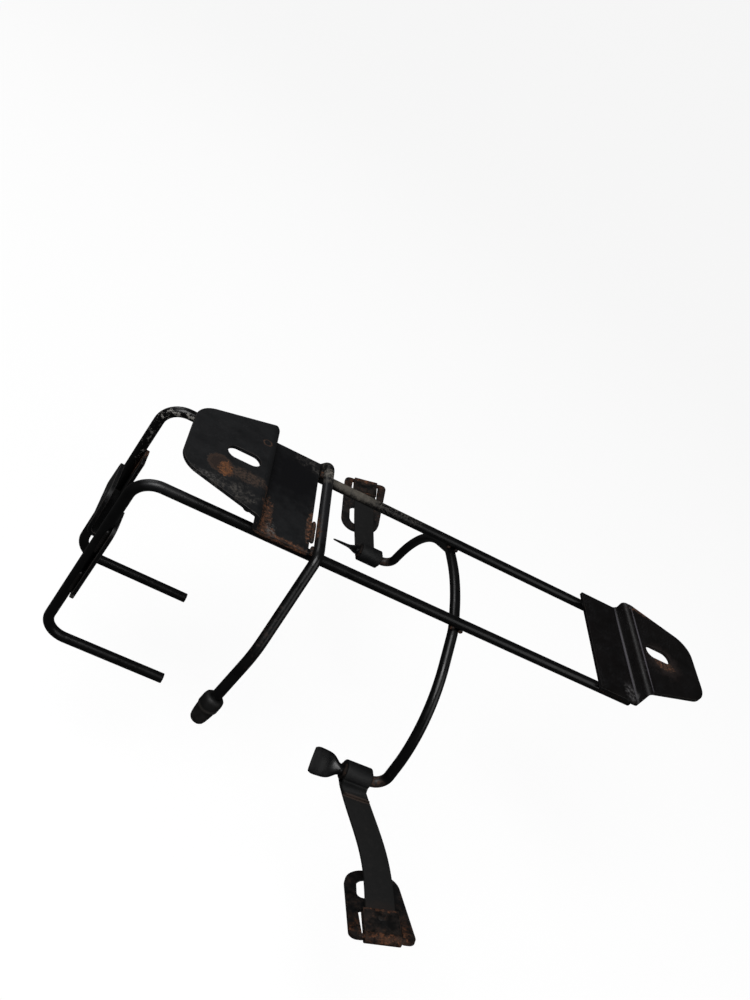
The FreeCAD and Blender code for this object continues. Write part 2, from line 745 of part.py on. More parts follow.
def crossing_runs(bow_at, z):
    """Short beads ahead of and behind a bow, where it crosses each rail."""
    places = [(bow_at + ahead * rod_r * 0.9, s * rail_y) for s in SIDES.values() for ahead in (-1, 1)]
    return [(V(x, y - CROSSING, z), V(x, y + CROSSING, z), fillet) for x, y in places]


web_inner = fold_x - size("web_length")
rear_inner = fold_x - size("rear_web_length")
EDGE_INSET = 4.0           # a bead stops this far inside the web's free edge
FOLD_INSET = 6.0           # and this far before the fold
weld_group("front_bracket_welds", bracket_runs(-web_inner - EDGE_INSET, -fold_x + FOLD_INSET))
weld_group("rear_bracket_welds", bracket_runs(rear_inner + EDGE_INSET, fold_x - FOLD_INSET))

hook_runs = []
HOOK_BEAD_FROM = 5.0       # the hook bracket has a short bead at each end of each leg
HOOK_BEAD_TO = 25.0
LOW_BEAD_FROM = 6.0
top_runs = (size("hook_web_top") + HOOK_BEAD_FROM, size("hook_web_top") + HOOK_BEAD_TO)
low_runs = (size("hook_web_low") - HOOK_BEAD_TO, size("hook_web_low") - LOW_BEAD_FROM)
for s in SIDES.values():
    base = V(-size("hook_corner"), s * (rail_y + TOE_OUT), rail_z) + leg_inward * TOE_DOWN
    for start, end in (top_runs, low_runs):
        hook_runs.append((base + down_leg * start, base + down_leg * end, fillet))
weld_group("hook_bracket_welds", hook_runs)

# the front bow is also run on to the web's rear edge, near one rail
gap_x = -(size("leg_bow_at") + rod_r + web_inner) / 2
edge_run = (V(gap_x, -rail_y + 7, web_top - 1), V(gap_x, -rail_y / 2 + 4, web_top - 1), bead * 0.85)
weld_group("leg_bow_welds", crossing_runs(-size("leg_bow_at"), rail_z + rod_r) + [edge_run])
strap_runs = crossing_runs(bow_x, rail_z - rod_r)
weld_group("strap_bow_welds", strap_runs)

# ---------------------------------------------------------------- checks and export
doc.recompute()
for thing in doc.Objects:
    if "Invalid" in thing.State or "Error" in thing.State:
        raise RuntimeError("%s: %s" % (thing.Label, thing.State))
os.makedirs("parts", exist_ok=True)
for label, thing in nodes.items():
    shape = thing.Shape
    if shape.isNull() or not shape.isValid() or shape.Volume <= 0:
        raise RuntimeError("%s has no valid solid" % label)
    shape.exportStep("parts/%s.step" % label)
    print("%-22s solids %d  volume %.0f mm3" % (label, len(shape.Solids), shape.Volume))
print("nodes:", len(nodes))
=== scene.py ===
# %% [markdown]
# # A welded luggage rack carrier
# The rack hangs under a flat face by two slotted feet. Bent steel rods make its rails, its front
# hooks and two cradle bows. A pair of rubber straps swings on the rear bow, each with a buckle
# ring. This lesson loads the measured frame and gives each piece the finish that it has after
# years outdoors.

# %% Load the frame
import math
import random

import bmesh
import bpy
from mathutils import Matrix, Vector


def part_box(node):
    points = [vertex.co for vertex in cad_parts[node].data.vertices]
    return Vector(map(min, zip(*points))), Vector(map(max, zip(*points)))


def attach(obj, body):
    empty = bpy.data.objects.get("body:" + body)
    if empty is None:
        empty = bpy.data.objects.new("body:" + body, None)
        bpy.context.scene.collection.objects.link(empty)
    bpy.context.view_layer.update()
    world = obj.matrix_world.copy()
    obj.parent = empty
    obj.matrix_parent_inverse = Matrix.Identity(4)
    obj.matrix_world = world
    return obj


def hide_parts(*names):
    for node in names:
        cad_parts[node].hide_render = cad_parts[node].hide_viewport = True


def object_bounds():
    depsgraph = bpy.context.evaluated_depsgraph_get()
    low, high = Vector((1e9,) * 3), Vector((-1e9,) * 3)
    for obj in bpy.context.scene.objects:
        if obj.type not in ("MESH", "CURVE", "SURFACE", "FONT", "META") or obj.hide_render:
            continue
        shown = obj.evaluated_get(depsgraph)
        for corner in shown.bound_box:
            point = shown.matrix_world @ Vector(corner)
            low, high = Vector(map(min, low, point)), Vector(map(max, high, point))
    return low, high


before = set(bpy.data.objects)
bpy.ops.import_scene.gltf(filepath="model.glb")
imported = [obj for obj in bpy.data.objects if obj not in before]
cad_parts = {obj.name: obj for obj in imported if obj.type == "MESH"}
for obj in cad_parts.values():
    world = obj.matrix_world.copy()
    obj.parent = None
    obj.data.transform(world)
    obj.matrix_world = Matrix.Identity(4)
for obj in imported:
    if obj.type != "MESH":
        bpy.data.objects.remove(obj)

cad_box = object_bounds()
MM = 0.001
SIDES = {"near": -1, "far": 1}

# %% [markdown]
# ## Colour and nodes
# Colours are picked as sRGB hex, as a paint chart gives them, but a shader adds up light, so each
# one is turned to linear first. Materials are node trees. One small function adds a node, sets
# it and links it, which keeps each material readable as a list of steps.

# %% Colour and node helpers


def colour(hex_value):
    """Linear RGBA of an sRGB hex string."""
    channels = [int(hex_value[i:i + 2], 16) / 255 for i in (1, 3, 5)]
    linear = [c / 12.92 if c <= 0.04045 else ((c + 0.055) / 1.055) ** 2.4 for c in channels]
    return (*linear, 1.0)


def add(tree, kind, values=None, links=None, **settings):
    """Add a node: settings are its own choices, values its sockets, links what feeds them."""
    node = tree.nodes.new("ShaderNode" + kind)
    for name, value in settings.items():
        setattr(node, name, value)
    for socket, value in (values or {}).items():
        node.inputs[socket].default_value = value
    for socket, source in (links or {}).items():
        tree.links.new(source, node.inputs[socket])
    return node.outputs


def per_mm(size):
    """Texture scale for a grain of that many millimetres, in a scene measured in metres."""
    return 1.0 / (size * MM)


print("black enamel in linear light:", [round(c, 4) for c in colour("#0a0a0b")[:3]])

# %% [markdown]
# ## Patches of wear
# Wear isn't spread evenly: paint flakes where a rod is bent, rust starts at a fold or a hole, and
# dust lies on what faces up. A patch is a mask that is 1 near a place and 0 away from it, and
# noise frays its edge, so that it doesn't look like a sticker. The reach is given along X, Y and Z
# in millimetres, from the same frame as the model.

# %% Masks for wear


def patch(tree, place, centre, reach, frayed=0.5, size=3.0, soft=0.3):
    """Mask of a frayed patch: its centre, its reach and the size of its fraying in millimetres."""
    middle = [c * MM for c in centre]
    away = add(tree, "VectorMath", {1: middle}, {0: place}, operation="SUBTRACT")[0]
    scale = [per_mm(r) for r in reach]
    scaled = add(tree, "VectorMath", {1: scale}, {0: away}, operation="MULTIPLY")[0]
    far = add(tree, "VectorMath", {}, {0: scaled}, operation="LENGTH")["Value"]
    frays = {"Scale": per_mm(size), "Detail": 6.0, "Roughness": 0.7}
    noise = add(tree, "TexNoise", frays, {"Vector": place})[0]
    wobbly = add(tree, "Math", {1: 4 * frayed}, {0: noise, 2: far}, operation="MULTIPLY_ADD")[0]
    rim = 1 + 2 * frayed
    ends = {"From Min": rim + soft / 2, "From Max": rim - soft / 2}
    return add(tree, "MapRange", ends, {"Value": wobbly})[0]


NOISE_SPREAD = 0.22  # most of the noise lies within this much round its middle


def noise_level(cover):
    """The noise is above this level over about a share cover of the surface. A cover below 0
    leaves only the highest peaks of the noise, so the specks are rare."""
    return 0.5 + NOISE_SPREAD * (0.5 - cover)


def speckle(tree, place, size, cover, soft=0.04, inside=None):
    """Mask of scattered specks of a size in mm, kept within another mask where one is given."""
    specks = {"Scale": per_mm(size), "Detail": 5.0, "Roughness": 0.7}
    noise = add(tree, "TexNoise", specks, {"Vector": place})[0]
    level = noise_level(cover)
    ends = {"From Min": level - soft, "From Max": level + soft}
    mask = add(tree, "MapRange", ends, {"Value": noise})[0]
    if inside is None:
        return mask
    return add(tree, "Math", {}, {0: inside, 1: mask}, operation="MULTIPLY")[0]


def flecks(tree, place, size, cover, inside):
    """Specks that gather in clusters, as chipped paint and splashed mud do."""
    clusters = speckle(tree, place, size * 3.5, 0.5, 0.06, inside)
    return speckle(tree, place, size, cover, 0.06, clusters)


print("noise level for specks over a quarter of a surface:", round(noise_level(0.25), 3))

# %% [markdown]
# ## One way to build every finish
# Each finish here is a ground coat with layers over it: paint, then scuffs, dust and rust. The
# ground has two near tones mixed by a coarse noise, because no real surface is one colour. Each
# layer brings its own colour and roughness where its mask is 1. Bump comes from a fine grain,
# drawn coarser where a real one wouldn't show, and for rust from a lumpier crust on top.

# %% Finish builder
# rust as it shows on painted steel: dark where it is thick, orange where it is fresh
RUST_STAIN = "#261b16"
RUST_BROWN = "#4f3729"
RUST_PIT = "#120c0a"
RUST_ORANGE = "#80533a"
DUST = "#6f6960"
FLAKED = "#aaa7a1"


def new_finish(name):
    """An empty material, with its node tree, its shader and the place on the object."""
    material = bpy.data.materials.new(name)
    material.use_nodes = True
    tree = material.node_tree
    shader = tree.nodes["Principled BSDF"]
    place = add(tree, "TexCoord")["Object"]
    return material, tree, shader, place


def two_tone(tree, place, size, dark, light):
    """Ground colour that drifts between two near tones."""
    clouds = {"Scale": per_mm(size), "Detail": 3.0, "Roughness": 0.6}
    noise = add(tree, "TexNoise", clouds, {"Vector": place})[0]
    drift = add(tree, "MapRange", {"From Min": 0.35, "From Max": 0.65}, {"Value": noise})[0]
    tones = {"A": colour(dark), "B": colour(light)}
    return add(tree, "Mix", tones, {"Factor": drift}, data_type="RGBA")["Result"]


def coat(tree, shader, place, ground, rough, layers, skin=(0.5, 0.08), crust=None):
    """Lay the layers over the ground and wire colour, roughness and bump into the shader.
    A layer is (mask, colour, roughness). skin is a grain size in mm and its strength."""
    patches = {"Scale": per_mm(9.0), "Detail": 4.0, "Roughness": 0.6}
    dulling = add(tree, "TexNoise", patches, {"Vector": place})[0]
    ends = {"From Min": 0.3, "From Max": 0.7, "To Min": rough[0], "To Max": rough[1]}
    polish = add(tree, "MapRange", ends, {"Value": dulling})[0]
    shade = ground
    for mask, over, over_rough in layers:
        feeds = {"Factor": mask, "A": shade}
        shade = add(tree, "Mix", {"B": colour(over)}, feeds, data_type="RGBA")["Result"]
        feeds = {"Factor": mask, "A": polish}
        polish = add(tree, "Mix", {"B": over_rough}, feeds, data_type="FLOAT")["Result"]
    tree.links.new(shade, shader.inputs["Base Color"])
    tree.links.new(polish, shader.inputs["Roughness"])
    grain = {"Scale": per_mm(skin[0]), "Detail": 2.0, "Roughness": 0.6}
    fine = add(tree, "TexNoise", grain, {"Vector": place})[0]
    bump = add(tree, "Bump", {"Strength": skin[1], "Distance": 0.2 * MM}, {"Height": fine})[0]
    if crust is not None:
        scale = {"Scale": per_mm(1.1), "Detail": 5.0, "Roughness": 0.7}
        flaking = add(tree, "TexNoise", scale, {"Vector": place})[0]
        lumps = add(tree, "Math", {}, {0: crust, 1: flaking}, operation="MULTIPLY")[0]
        feeds = {"Height": lumps, "Normal": bump}
        bump = add(tree, "Bump", {"Strength": 0.55, "Distance": 0.5 * MM}, feeds)[0]
    tree.links.new(bump, shader.inputs["Normal"])


def rusted(tree, place, masks):
    """Layers of rust inside several masks, and the mask that joins them: a dark stain, brown
    scale, fresh orange specks and black pits."""
    rust = masks[0]
    for mask in masks[1:]:
        rust = add(tree, "Math", {}, {0: rust, 1: mask}, operation="MAXIMUM")[0]
    layers = [
        (rust, RUST_STAIN, 0.75),
        (speckle(tree, place, 3.4, 0.6, 0.06, rust), RUST_BROWN, 0.85),
        (speckle(tree, place, 2.6, 0.25, 0.05, rust), RUST_ORANGE, 0.92),
        (speckle(tree, place, 4.2, 0.1, 0.05, rust), RUST_PIT, 0.9),
    ]
    return layers, rust


print("rust tones:", RUST_STAIN, RUST_BROWN, RUST_ORANGE, RUST_PIT)

# %% [markdown]
# ## Enamel on the rods
# The rods are mild steel dipped in gloss black enamel. It is almost black, with a soft highlight
# along its length, because weather has dulled the gloss. Enamel is a dielectric with an IOR near
# 1.5, so it isn't metallic. Three places are worn: the far hook's bend has flaked to pale primer,
# the far rail between the bows is grey with dried mud, and small specks of rust are scattered.
# The near rail and the top of the leg bow also get a lighter patch, a painted sheen.

# %% Rod enamel


def rod_enamel(name, wear):
    """Gloss black enamel on a rod; wear adds the layers for one rod. It looks almost black, with
    a thin soft highlight along the rod. The enamel's ripple is about 1.6 mm from crest to crest."""
    material, tree, shader, place = new_finish(name)
    shader.inputs["IOR"].default_value = 1.5
    ground = two_tone(tree, place, 14.0, "#040405", "#0a0a0b")
    dull = speckle(tree, place, 11.0, 0.3, 0.2)
    pits = speckle(tree, place, 2.6, -0.35)
    layers = [(dull, "#0d0d0d", 0.4), (pits, "#2c201a", 0.7)]
    # wear adds the rod's wear, and on the near rail and the leg bow also a painted sheen
    layers += wear(tree, place)
    coat(tree, shader, place, ground, (0.2, 0.32), layers, skin=(1.6, 0.08))
    return material


def near_rail_painted_sheen(tree, place):
    # painted sheen: this patch of the near rail is coloured lighter to stand for a highlight, not wear
    painted_sheen_mask = patch(tree, place, (-232, -45, -16), (22, 6, 6), 0.3, 4.0, 0.7)
    return [(painted_sheen_mask, "#1d1d1f", 0.4)]


def far_rail_wear(tree, place):
    bend = patch(tree, place, (-236, 40.5, -24), (20, 4, 10), 0.4, 5.0, 0.3)
    flakes = speckle(tree, place, 3.0, 0.3, 0.02, bend)
    leg = patch(tree, place, (-246, 41, -56), (6, 5, 22), 0.4, 6.0, 0.3)
    chips = speckle(tree, place, 3.4, 0.1, 0.02, leg)
    mud = patch(tree, place, (-92, 45, -14), (22, 7, 7), 0.35, 5.0, 0.5)
    mud = speckle(tree, place, 6.0, 0.75, 0.2, mud)
    thin_mud = patch(tree, place, (-72, 45, -14), (40, 7, 7), 0.6, 4.0, 0.5)
    broken = speckle(tree, place, 1.8, 0.4, 0.05, thin_mud)
    return [
        (flakes, FLAKED, 0.65),
        (chips, "#7d7b77", 0.65),
        (broken, "#4a4641", 0.85),
        (mud, DUST, 0.9),
    ]


def leg_bow_wear_and_sheen(tree, place):
    # painted sheen: the top of the bow is coloured lighter, as if lit from above; the dirt and rust below are
    # real
    painted_top_sheen = patch(tree, place, (-116, 4, -8), (8, 42, 6), 0.5, 5.0, 0.6)
    corner = patch(tree, place, (-116, 44, -9), (11, 15, 10), 0.5, 4.0, 0.4)
    dirt = flecks(tree, place, 2.0, 0.7, corner)
    rust = patch(tree, place, (-123, -26, -10), (4, 14, 5), 0.6, 2.5, 0.3)
    arm = patch(tree, place, (-124, -92, -60), (9, 20, 24), 0.5, 5.0, 0.5)
    spots = speckle(tree, place, 3.0, 0.16, 0.05, arm)
    layers = [(painted_top_sheen, "#1c1c1e", 0.4), (dirt, "#7a756d", 0.85), (spots, "#30231d", 0.75)]
    return layers + rusted(tree, place, [rust])[0]


def strap_bow_wear(tree, place):
    """Both ends of the bow are rubbed bare where the strap's eye turns on them."""
    ends = [patch(tree, place, (-2, s * 120, -126), (8, 7, 7), 0.4, 3.0, 0.5) for s in (-1, 1)]
    rubbed = add(tree, "Math", {}, {0: ends[0], 1: ends[1]}, operation="MAXIMUM")[0]
    return [(rubbed, "#2d2724", 0.5), (speckle(tree, place, 2.2, 0.3, inside=rubbed), RUST_BROWN, 0.8)]


# each rod's layers: real wear, with a painted sheen on the near rail and on the leg bow's top
ROD_WEAR_AND_SHEEN = {
    "near_rail": near_rail_painted_sheen,
    "far_rail": far_rail_wear,
    "leg_bow": leg_bow_wear_and_sheen,
    "strap_bow": strap_bow_wear,
}
for node, wear in ROD_WEAR_AND_SHEEN.items():
    finish = rod_enamel(node + "_black_enamel", wear)
    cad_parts[node].data.materials.clear()
    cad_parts[node].data.materials.append(finish)
print("enamelled rods:", ", ".join(ROD_WEAR_AND_SHEEN))

# %% [markdown]
# ## Soft edges on pressed steel
# A press leaves no knife edges: shearing rolls the top edge over, and paint thickens on it. The
# copy of a plate made here has its flat faces merged, so that only true edges are left, and
# each of those is bevelled by a few tenths of a millimetre. The bevel takes a second finish,
# because edges lose their paint first. On the hook bracket that edge finish is also lighter,
# as a painted glint along the edges.

# %% Bevelled copy of a sheet part
FLAT_WITHIN = 0.6  # degrees: faces nearer than this to one plane are merged
SHARP_OVER = 40    # degrees: edges that turn more than this are rounded


def bevelled(node, body, round_mm, face_finish, edge_finish=None, segments=2):
    """A piece that stands for a CAD node, with its sharp edges rounded."""
    copied = bmesh.new()
    copied.from_mesh(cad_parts[node].data)
    bmesh.ops.remove_doubles(copied, verts=copied.verts, dist=0.002 * MM)
    bmesh.ops.dissolve_limit(copied, angle_limit=math.radians(FLAT_WITHIN),
                             verts=copied.verts, edges=copied.edges)
    joined = [e for e in copied.edges if len(e.link_faces) == 2]
    sharp = [e for e in joined if e.calc_face_angle(0) > math.radians(SHARP_OVER)]
    made = bmesh.ops.bevel(copied, geom=sharp, offset=round_mm * MM, segments=segments,
                           profile=0.5, affect="EDGES", clamp_overlap=True)
    for face in copied.faces:
        face.material_index = 0
        face.smooth = True
    for face in made["faces"]:
        face.material_index = 1
    mesh = bpy.data.meshes.new(node + "_pressed")
    copied.to_mesh(mesh)
    copied.free()
    piece = bpy.data.objects.new(node + "_pressed", mesh)
    bpy.context.scene.collection.objects.link(piece)
    mesh.materials.append(face_finish)
    mesh.materials.append(edge_finish or face_finish)
    even = piece.modifiers.new("even_shading", "WEIGHTED_NORMAL")
    even.keep_sharp = True
    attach(piece, body)
    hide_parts(node)
    print(node, "faces:", len(mesh.polygons), "rounded edges:", len(sharp))
    return piece


# %% [markdown]
# ## The front bracket
# It is 3 mm sheet, folded up to the foot and enamelled in a thinner, duller black that has gone
# charcoal. A washer has left a rusty print beside the slot, and water held in the fold has rusted
# its near end. The print is a ring, so its mask comes from the distance to the washer's centre.
# Pale flecks by the near end of the fold are painted glints.

# %% Bracket enamel


def ring_print(tree, place, centre, radius, width):
    """Mask of a ring in the plate's plane, in millimetres."""
    middle = [c * MM for c in centre]
    away = add(tree, "VectorMath", {1: middle}, {0: place}, operation="SUBTRACT")[0]
    flat = add(tree, "VectorMath", {1: (1, 1, 0.2)}, {0: away}, operation="MULTIPLY")[0]
    far = add(tree, "VectorMath", {}, {0: flat}, operation="LENGTH")["Value"]
    off = add(tree, "Math", {1: radius * MM}, {0: far}, operation="SUBTRACT")[0]
    gap = add(tree, "Math", {}, {0: off}, operation="ABSOLUTE")[0]
    frays = {"Scale": per_mm(2.4), "Detail": 6.0, "Roughness": 0.7}
    noise = add(tree, "TexNoise", frays, {"Vector": place})[0]
    frayed = add(tree, "Math", {1: 3 * width * MM}, {0: noise, 2: gap}, operation="MULTIPLY_ADD")[0]
    ends = {"From Min": width * 2.2 * MM, "From Max": width * 1.8 * MM}
    return add(tree, "MapRange", ends, {"Value": frayed})[0]


def scratches(tree, place, across, along, cover, inside):
    """Scratches along Y: a grain that is stretched that way, both sizes in millimetres. A real
    scratch is a tenth of a millimetre wide, too fine to show, so they are drawn far coarser."""
    scale = (per_mm(across), per_mm(along), per_mm(across))
    stretched = add(tree, "VectorMath", {1: scale}, {0: place}, operation="MULTIPLY")[0]
    noise = add(tree, "TexNoise", {"Scale": 1.0, "Detail": 5.0, "Roughness": 0.7}, {"Vector": stretched})[0]
    level = noise_level(cover) + 0.08
    mask = add(tree, "MapRange", {"From Min": level - 0.02, "From Max": level + 0.02}, {"Value": noise})[0]
    return add(tree, "Math", {}, {0: inside, 1: mask}, operation="MULTIPLY")[0]


def bracket_enamel(name, dark, light, wear, rough=(0.42, 0.6)):
    """Thin enamel on rolled sheet: charcoal and dull, with a broad, weak highlight. Its powdery
    grain of a few tenths of a millimetre is too fine to show, so it is drawn at 0.9 mm."""
    material, tree, shader, place = new_finish(name)
    shader.inputs["IOR"].default_value = 1.5
    ground = two_tone(tree, place, 20.0, dark, light)
    scuffs = speckle(tree, place, 14.0, 0.4, 0.1)
    base = [(speckle(tree, place, 1.2, 0.25, 0.06, scuffs), "#232325", 0.65)]
    # wear brings wear and rust, and on the front, rear and hook plates also painted highlights and glints
    layers, crust = wear(tree, place)
    coat(tree, shader, place, ground, rough, base + layers, skin=(0.9, 0.16), crust=crust)
    return material


def front_wear_and_glints(tree, place):
    """Places are in millimetres: the slot's centre is at x -186, and the fold is at x -165."""
    print_out = ring_print(tree, place, (-201, -20, 0), 8.0, 2.6)
    print_in = patch(tree, place, (-201, -20, 0), (8, 8, 9), 0.5, 3.0, 0.3)
    orange = patch(tree, place, (-196.5, -23, 0), (5, 7, 9), 0.5, 2.4, 0.3)
    smear = patch(tree, place, (-181, -21, 0), (15, 6, 9), 0.6, 3.5, 0.5)
    small_print = ring_print(tree, place, (-172, 27, 0), 3.2, 0.8)
    low = patch(tree, place, (-189, -40, 0), (17, 9, 9), 0.5, 6.0, 0.5)
    low_scuffs = flecks(tree, place, 2.0, 0.5, low)
    fold = patch(tree, place, (-160, -34, -7), (6, 20, 12), 0.55, 3.5, 0.3)
    fold_end = patch(tree, place, (-156, -50, -9), (7, 7, 12), 0.5, 3.0, 0.3)
    # painted glints: pale flecks by the fold's near end stand for highlights, not chipped paint
    glint_by_fold = patch(tree, place, (-153, -46, -13), (4, 8, 6), 0.5, 4.0, 0.4)
    painted_glints = flecks(tree, place, 2.0, 0.5, glint_by_fold)
    web_edge = patch(tree, place, (-141, -53, -14), (22, 4, 6), 0.7, 3.0, 0.3)
    weld_end = patch(tree, place, (-125, -24, -13), (3, 16, 6), 0.7, 3.0, 0.3)
    shiny = patch(tree, place, (-142, 22, -13), (24, 30, 6), 0.5, 8.0, 0.8)
    far_corner = patch(tree, place, (-128, 46, -13), (16, 8, 6), 0.5, 5.0, 0.4)
    bare = flecks(tree, place, 2.4, 0.6, far_corner)
    tip_corner = patch(tree, place, (-213, -38, 0), (14, 4, 5), 0.6, 5.0, 0.4)
    chipped = flecks(tree, place, 1.8, 0.5, tip_corner)
    rust_layers, rust = rusted(tree, place, [orange, fold, fold_end, web_edge, weld_end])
    layers = [
        (shiny, "#0f0f12", 0.34),
        (bare, "#3d3a38", 0.7),
        (chipped, "#5e5b59", 0.65),
        (low_scuffs, "#4f4b47", 0.75),
        (speckle(tree, place, 2.0, 0.6, 0.1, smear), "#4a3a30", 0.8),
        (print_in, "#2a1d17", 0.8),
        (print_out, "#38281f", 0.85),
        (small_print, RUST_BROWN, 0.85),
    ]
    layers += rust_layers
    layers += [(speckle(tree, place, 2.6, 0.5, 0.08, orange), "#84532f", 0.9), (painted_glints, "#6d6a68", 0.6)]
    crust = add(tree, "Math", {}, {0: rust, 1: print_out}, operation="MAXIMUM")[0]
    return layers, crust


def rear_wear_and_highlights(tree, place):
    """The slot's centre is at x 186, and the folds cross at x 162 and x 168."""
    round_slot = patch(tree, place, (189, -6, 0), (16, 15, 9), 0.5, 5.0, 0.6)
    below_slot = patch(tree, place, (190, -10, 0), (9, 5, 9), 0.6, 3.0, 0.4)
    far_edge = patch(tree, place, (187, 44, 0), (17, 3, 9), 0.7, 3.0, 0.4)
    # painted highlights: crest and valley are thin light lines along the two folds, standing for the light
    # the bends catch
    crest = patch(tree, place, (168.6, 0, -1.0), (0.75, 50, 3), 0.15, 2.5, 0.4)
    valley = patch(tree, place, (162.2, 0, -12.2), (0.6, 50, 2), 0.15, 2.5, 0.4)
    # painted glints: pale specks by the near corner of the lower fold
    glint_near_corner = patch(tree, place, (158, -44, -13), (5, 9, 6), 0.4, 6.0, 0.5)
    painted_glints = speckle(tree, place, 3.2, 0.4, 0.1, glint_near_corner)
    far_fold = patch(tree, place, (166, 40, -4), (6, 12, 9), 0.4, 6.0, 0.5)
    lines = scratches(tree, place, 0.9, 5.0, 0.25, far_fold)
    rust_layers, rust = rusted(tree, place, [below_slot, far_edge])
    layers = [
        (crest, "#5f5c62", 0.42),
        (valley, "#5a575d", 0.42),
        (round_slot, "#231a18", 0.7),
        (lines, "#6b696a", 0.6),
        (painted_glints, "#6a6869", 0.55),
    ]
    return layers + rust_layers, rust


def hook_rust_and_highlights(tree, place):
    far_ear = patch(tree, place, (-244, 46, -76), (12, 8, 16), 0.5, 3.5, 0.4)
    # painted highlights: a pale spot on the lower ear's tip and a lighter strip along the tongue's rim
    near_tip_highlight = patch(tree, place, (-250, -49, -141), (7, 5, 5), 0.5, 3.0, 0.4)
    tongue_rim_highlight = patch(tree, place, (-259, 22, -66), (3, 8, 22), 0.5, 4.0, 0.5)
    layers, rust = rusted(tree, place, [far_ear])
    return layers + [(near_tip_highlight, "#6e6b68", 0.6), (tongue_rim_highlight, "#343335", 0.5)], rust


def edge_wear(tree, place):
    bare = speckle(tree, place, 4.0, 0.35, 0.1)
    rusty = speckle(tree, place, 6.0, 0.25, 0.1)
    return [(bare, "#3d3c3b", 0.5), (rusty, "#3a2a22", 0.8)], rusty


plate_edge = bracket_enamel("worn_plate_edge", "#151516", "#222223", edge_wear)
front_enamel = bracket_enamel("front_bracket_charcoal_enamel", "#121315", "#1b1c1e", front_wear_and_glints)
rear_enamel = bracket_enamel("rear_bracket_brown_enamel", "#050303", "#0d0909", rear_wear_and_highlights, (0.3, 0.46))
hook_enamel = bracket_enamel("hook_bracket_black_enamel", "#040405", "#0b0b0c", hook_rust_and_highlights, (0.34, 0.5))
bevelled("front_bracket", "frame", 0.45, front_enamel, plate_edge)
bevelled("rear_bracket", "frame", 0.45, rear_enamel, plate_edge)
# painted glint: the hook plate's edge finish is much lighter than the others, over its real chips and rust
hook_edge_wear_and_glint = bracket_enamel("hook_plate_edge_wear_and_glint", "#2b2b2c", "#4d4c4c", edge_wear)
bevelled("hook_bracket", "frame", 0.45, hook_enamel, hook_edge_wear_and_glint)

# %% [markdown]
# ## Weld beads
# The rack is welded by hand. Molten metal freezes in overlapping ripples a couple of millimetres
# apart, so a bead is a lumpy half-round, not a smooth cylinder. Each bead is built here as a
# tube whose radius swells with every ripple, from one end of the CAD bead to the other.

# %% Weld metal and rippled beads


def weld_finish(name, rust_cover):
    """Weld metal under thin enamel: dark and rough, with dry rust that catches the light."""
    material, tree, shader, place = new_finish(name)
    shader.inputs["IOR"].default_value = 1.5
    ground = two_tone(tree, place, 5.0, "#060505", "#120e0c")
    rust = speckle(tree, place, 4.0, rust_cover, 0.1)
    bright = speckle(tree, place, 1.6, 0.3, 0.04, rust)
    layers = [(rust, "#332218", 0.88), (bright, "#70482f", 0.9)]
    coat(tree, shader, place, ground, (0.4, 0.6), layers, skin=(0.8, 0.3), crust=rust)
    return material


def loose_parts(mesh):
    """Lists of vertex positions, one for each separate solid of a mesh. They follow the order of
    the mesh's own vertices, so that every run deals the random numbers to the same beads."""
    whole = bmesh.new()
    whole.from_mesh(mesh)
    bmesh.ops.remove_doubles(whole, verts=whole.verts, dist=0.002 * MM)
    reached = set()
    parts = []
    for first in whole.verts:
        if first in reached:
            continue
        reached.add(first)
        waiting = [first]
        part = []
        while waiting:
            vert = waiting.pop()
            part.append(vert.co.copy())
            for edge in vert.link_edges:
                other = edge.other_vert(vert)
                if other not in reached:
                    reached.add(other)
                    waiting.append(other)
        parts.append(part)
    whole.free()
    return parts


def bead(built, points, chance):
    """Add one rippled bead along the longest line through the points."""
    middle = sum(points, Vector()) / len(points)
    tip = max(points, key=lambda p: (p - middle).length)
    end = max(points, key=lambda p: (p - tip).length)
    axis = (end - tip).normalized()
    length = (end - tip).length
    radius = max((p - tip - axis * axis.dot(p - tip)).length for p in points)
    side = axis.orthogonal().normalized()
    up = axis.cross(side)
    ripple = 1.9 * MM
    rings = max(8, int(length / (0.35 * MM)))
    around = 14
    previous = None
    wander = [chance.uniform(-0.06, 0.06) for _ in range(8)]
    for i in range(rings + 1):
        along = i / rings
        blunt = math.sqrt(max(0.0, 1 - abs(2 * along - 1) ** 8))
        wave = abs(math.sin(math.pi * along * length / ripple))
        swell = 0.80 + 0.14 * wave + wander[int(along * 7.99)] * 0.6
        r = radius * blunt * min(swell, 0.99) + 0.02 * MM
        centre = tip + axis * (length * along)
        ring = []
        for k in range(around):
            angle = 2 * math.pi * k / around
            ring.append(built.verts.new(centre + side * math.cos(angle) * r + up * math.sin(angle) * r))
        if previous:
            for k in range(around):
                built.faces.new((previous[k], previous[k - 1], ring[k - 1], ring[k]))
        else:
            built.faces.new(ring)
        previous = ring
    built.faces.new(list(reversed(previous)))


def finish_mesh(name, built, material, body, slot, *nodes):
    """Turn a bmesh into a smooth-shaded piece that rides on a body and stands for CAD nodes."""
    bmesh.ops.recalc_face_normals(built, faces=built.faces)
    for face in built.faces:
        face.smooth = True
    mesh = bpy.data.meshes.new(name)
    built.to_mesh(mesh)
    built.free()
    mesh.materials.append(material)
    piece = bpy.data.objects.new(name, mesh)
    bpy.context.scene.collection.objects.link(piece)
    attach(piece, body)
    if nodes:
        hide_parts(*nodes)
    return piece


